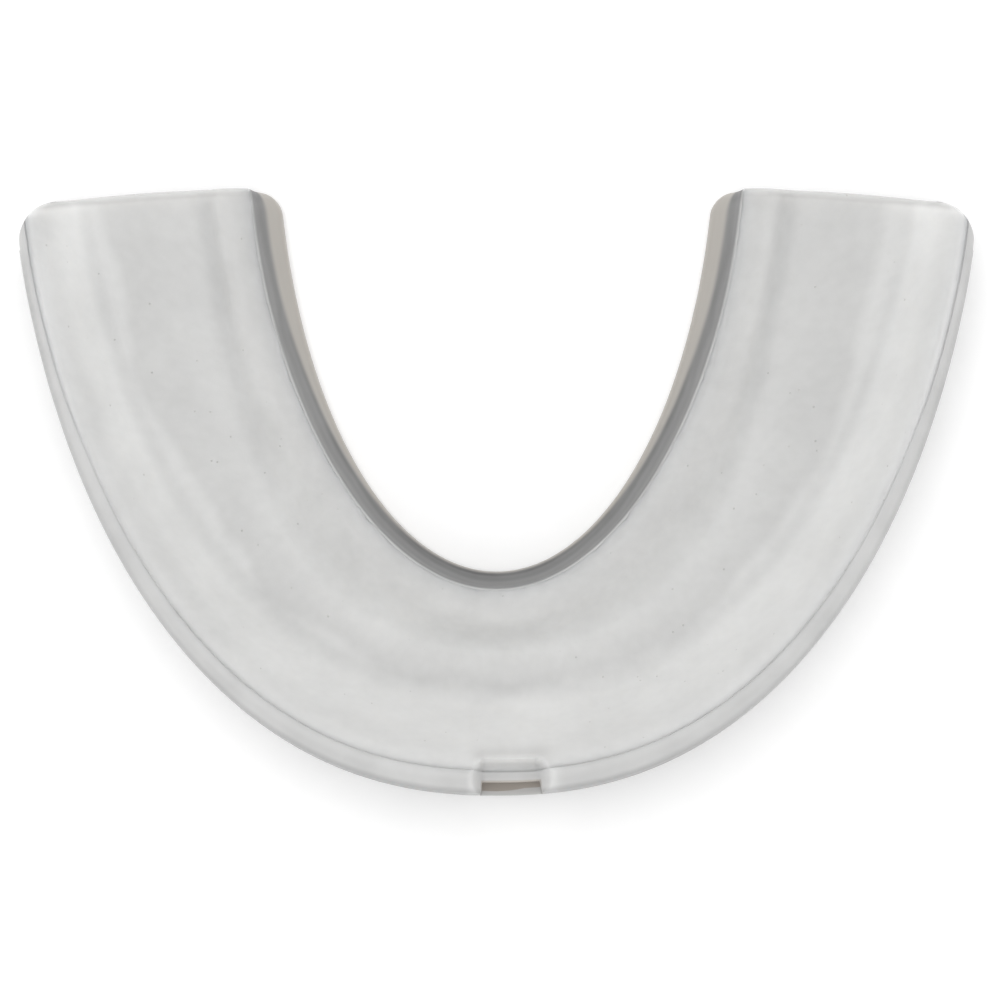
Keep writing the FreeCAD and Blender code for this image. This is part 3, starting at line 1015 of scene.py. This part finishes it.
def lining_tones(across, height):
    """Tones of the lining: painted light on the lip slope and at the foot of the tongue climb, the
    greyer middle with its wavy edge, painted shade along the valley, on the tongue crest, in the
    front crease, in the notch scoop and on the arm ends, and painted light over the seam on the
    arms.
    """
    share = np.abs(ROWS)[:, None]
    wave = row_wave(MILKY_WAVE) + row_wave(MILKY_RIPPLE)
    shift = MIDDLE_SHIFT * smooth_step(share[:, 0], *MIDDLE_SHIFT_RUN)
    boundary = (MIDDLE_PLACE - shift + wave)[:, None]
    middle = smooth_step(across, boundary - MIDDLE_EDGE, boundary + MIDDLE_EDGE)
    # Painted light: the lip slope is lightened in a band up its climb.
    climb = (height - CHANNEL_FLOOR_HEIGHT) / (lip_rim() - CHANNEL_FLOOR_HEIGHT)[:, None]
    fade = SLOPE_FADE * smooth_step(climb, *SLOPE_FADE_RUN)
    slope = smooth_step(climb, *SLOPE_RISE_RUN) * (1.0 - fade)
    slope = slope * (1.0 - smooth_step(across, *SLOPE_END_RUN))
    # Painted light that lifts the shade at the foot of the tongue climb.
    foot_place = (ease(FLOOR_END, ROWS) + FOOT_PLACE)[:, None]
    foot = np.exp(-((across - foot_place) / FOOT_SPREAD) ** 2) * ease(FOOT_LIGHT_TONE, ROWS)[:, None]
    # Painted shade: a soft dark line along the valley at the foot of the tongue climb.
    groove_place = ease(VALLEY_SHADE_PLACE, ROWS)[:, None]
    valley_shade = np.exp(-((across - groove_place) / VALLEY_SHADE_SPREAD) ** 2)
    valley_shade = valley_shade * smooth_step(share, *VALLEY_SHADE_RUN)
    width = WIDTHS[:, None]
    # Painted shade that dulls the lit top of the lining near the tongue side.
    crest = smooth_step(across, width - CREST_RUN[0], width - CREST_RUN[1])
    wall = ease(RIM_WIDTH, ROWS)[:, None]
    # Painted light over the seam on the arms and painted shade in the crease at the front.
    seam = 1.0 - smooth_step(across, wall + SEAM_RUN[0], wall + SEAM_RUN[1])
    notch = notch_share()[:, None]
    plain = (1.0 - smooth_step(share, *PLAIN_RUN)) * (1.0 - notch)
    # Painted shade in the notch's scoop.
    scoop = notch * (1.0 - smooth_step(across, *SCOOP_RUN))
    # Painted shade on the lining at the arm ends.
    end = smooth_step(share, *LINING_END_RUN)
    lift = ease(SLOPE_LIGHT_TONE, ROWS)[:, None] * slope + foot
    seam_light_and_shade = seam * (SEAM_ARM_LIGHT_TONE * (1.0 - plain) - CREASE_SHADE_TONE * plain)
    tone = LINING_TONE + lift + seam_light_and_shade - MIDDLE_TONE * middle - VALLEY_SHADE_TONE * valley_shade
    return tone - CREST_SHADE_TONE * crest - SCOOP_SHADE_TONE * scoop - LINING_END_SHADE_TONE * end


def shell_tones(across, height):
    """Tones of the shell: painted shade and reflection on the tongue face with painted highlight
    streaks, the light rim, painted shade on the lip face, painted light on the notch flanks, painted
    shade at the arm ends, and the painted floor reflection on the foot.
    """
    top = (WIDTHS - ease(TONGUE_FACE_RUN, ROWS))[:, None]
    run = ease(TONGUE_FACE_RUN, ROWS)[:, None]
    face_part = (across - top) / run
    # Painted shade and reflection of the dark surroundings on the clear tongue face.
    dark = smooth_step(face_part, -FACE_EDGE, FACE_EDGE)
    # Painted reflection of the warm floor seen through the foot of the tongue face.
    foot_start = ease(FOOT_REFLECTION_START, ROWS)[:, None]
    foot = smooth_step(face_part, foot_start + FOOT_REFLECTION_RUN[0], foot_start + FOOT_REFLECTION_RUN[1])
    # Painted highlight streaks across the tongue face.
    phase = HIGHLIGHT_STREAK_TURNS * face_part + row_wave(HIGHLIGHT_STREAK_WAVE)[:, None]
    highlight_streaks = HIGHLIGHT_STREAK_TONE * np.sin(phase) * dark
    front = 1.0 - smooth_step(np.abs(ROWS), *FRONT_RUN)
    right = smooth_step(ROWS, *FRONT_RUN)
    # The painted face shade is darker at the front and on the right.
    dark = dark * (FACE_SHADE_TONE + FACE_FRONT_SHADE_TONE * front + FACE_RIGHT_SHADE_TONE * right)[:, None]
    # Painted shade on the outer lip face.
    lip_part = 1.0 - smooth_step(across, *LIP_RUN)
    before_end = 1.0 - smooth_step(np.abs(ROWS), *LIP_END_RUN)
    ledge = recess_share()[:, None] * (height > RECESS_BOTTOM - LEDGE_MARGIN)
    lip_level = before_end * (LIP_SHADE_TONE + LIP_SHADE_TONE * front)
    lip_shade = lip_level[:, None] * lip_part * (1.0 - ledge)
    notch = notch_share()
    # Painted light that lifts the shade on the notch's flanks.
    flank = (notch * (1.0 - notch))[:, None] * (1.0 - smooth_step(across, *FLANK_RUN))
    # Painted shade on the shell at the arm ends.
    end = smooth_step(np.abs(ROWS), *SHELL_END_RUN)[:, None]
    tone = SHELL_TONE - dark + highlight_streaks - lip_shade + FLANK_LIGHT_TONE * flank - SHELL_END_SHADE_TONE * end
    return tone, foot * FOOT_REFLECTION_SHARE


def scar_and_shadow_values(across, height):
    """Brown trimmed surface with painted shadow: 1 on the ledge inside the base lip and on the wall
    above it.
    """
    ledge = ledge_width()[:, None]
    inside = smooth_step(across, ledge, ledge + SCAR_AND_SHADOW_EDGE)
    wall_start = RECESS_PLANE + SCAR_AND_SHADOW_WALL_RUN[0]
    wall = 1.0 - smooth_step(across, wall_start, RECESS_PLANE + SCAR_AND_SHADOW_WALL_RUN[1])
    return recess_share()[:, None] * inside * (height > BASE_EDGE_HEIGHT) * wall


def make_shell():
    """Clear shell, in place of its CAD solid."""
    piece, across, height = sweep("clear_shell", shell_profile(), SHELL_CUT_SPARE)
    tone, foot_reflection = shell_tones(across, height)
    set_values(piece, "tone", tone)
    set_values(piece, "foot_reflection", foot_reflection)
    set_values(piece, "scar_and_shadow", scar_and_shadow_values(across, height))
    piece.data.materials.append(shell_material())
    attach(piece, "root")
    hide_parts("outer_shell")


def make_lining():
    """Milky lining, in place of its CAD solid."""
    piece, across, height = sweep("soft_lining", liner_profile(), 0.0)
    set_values(piece, "tone", lining_tones(across, height))
    piece.data.materials.append(lining_material())
    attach(piece, "root")
    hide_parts("fitting_liner")


# ---------------------------------------------------------------- stage, light and camera

def make_floor():
    """Floor just under the bite face."""
    place = (0.0, 0.0, cad_box[0][2] - FLOOR_GAP)
    bpy.ops.mesh.primitive_plane_add(size=FLOOR_SIZE, location=place)
    floor = bpy.context.object
    floor.name = "studio_floor"
    floor.data.materials.append(floor_material())


def make_softbox():
    """Square area light above the object, turned towards it."""
    data = bpy.data.lights.new("key_softbox", "AREA")
    data.shape = "RECTANGLE"
    data.size = SOFTBOX_SIZE
    data.size_y = SOFTBOX_SIZE
    data.energy = SOFTBOX_POWER
    lamp = bpy.data.objects.new("key_softbox", data)
    lamp.location = SOFTBOX_PLACE
    lamp.rotation_euler = (-Vector(SOFTBOX_PLACE)).to_track_quat("-Z", "Y").to_euler()
    bpy.context.scene.collection.objects.link(lamp)


def make_world():
    """Even white light from all round."""
    world = bpy.data.worlds.new("studio_world")
    world.use_nodes = True
    background = world.node_tree.nodes["Background"]
    background.inputs["Color"].default_value = WHITE
    background.inputs["Strength"].default_value = WORLD_STRENGTH
    bpy.context.scene.world = world


def make_camera():
    """Camera almost straight above, aimed just over the bite face."""
    data = bpy.data.cameras.new("camera")
    data.sensor_width = SENSOR_WIDTH
    data.lens = SENSOR_WIDTH * CAMERA_DISTANCE / CAMERA_FIELD
    data.clip_start = CAMERA_CLIP
    camera = bpy.data.objects.new("camera", data)
    tilt = math.radians(CAMERA_ELEVATION)
    aim = Vector(CAMERA_AIM)
    camera.location = aim + CAMERA_DISTANCE * Vector((0.0, -math.cos(tilt), math.sin(tilt)))
    camera.rotation_euler = (math.radians(90.0) - tilt, 0.0, 0.0)
    bpy.context.scene.collection.objects.link(camera)
    bpy.context.scene.camera = camera


make_shell()
make_lining()
make_floor()
make_softbox()
make_world()
make_camera()
bpy.context.scene.view_settings.view_transform = "Standard"
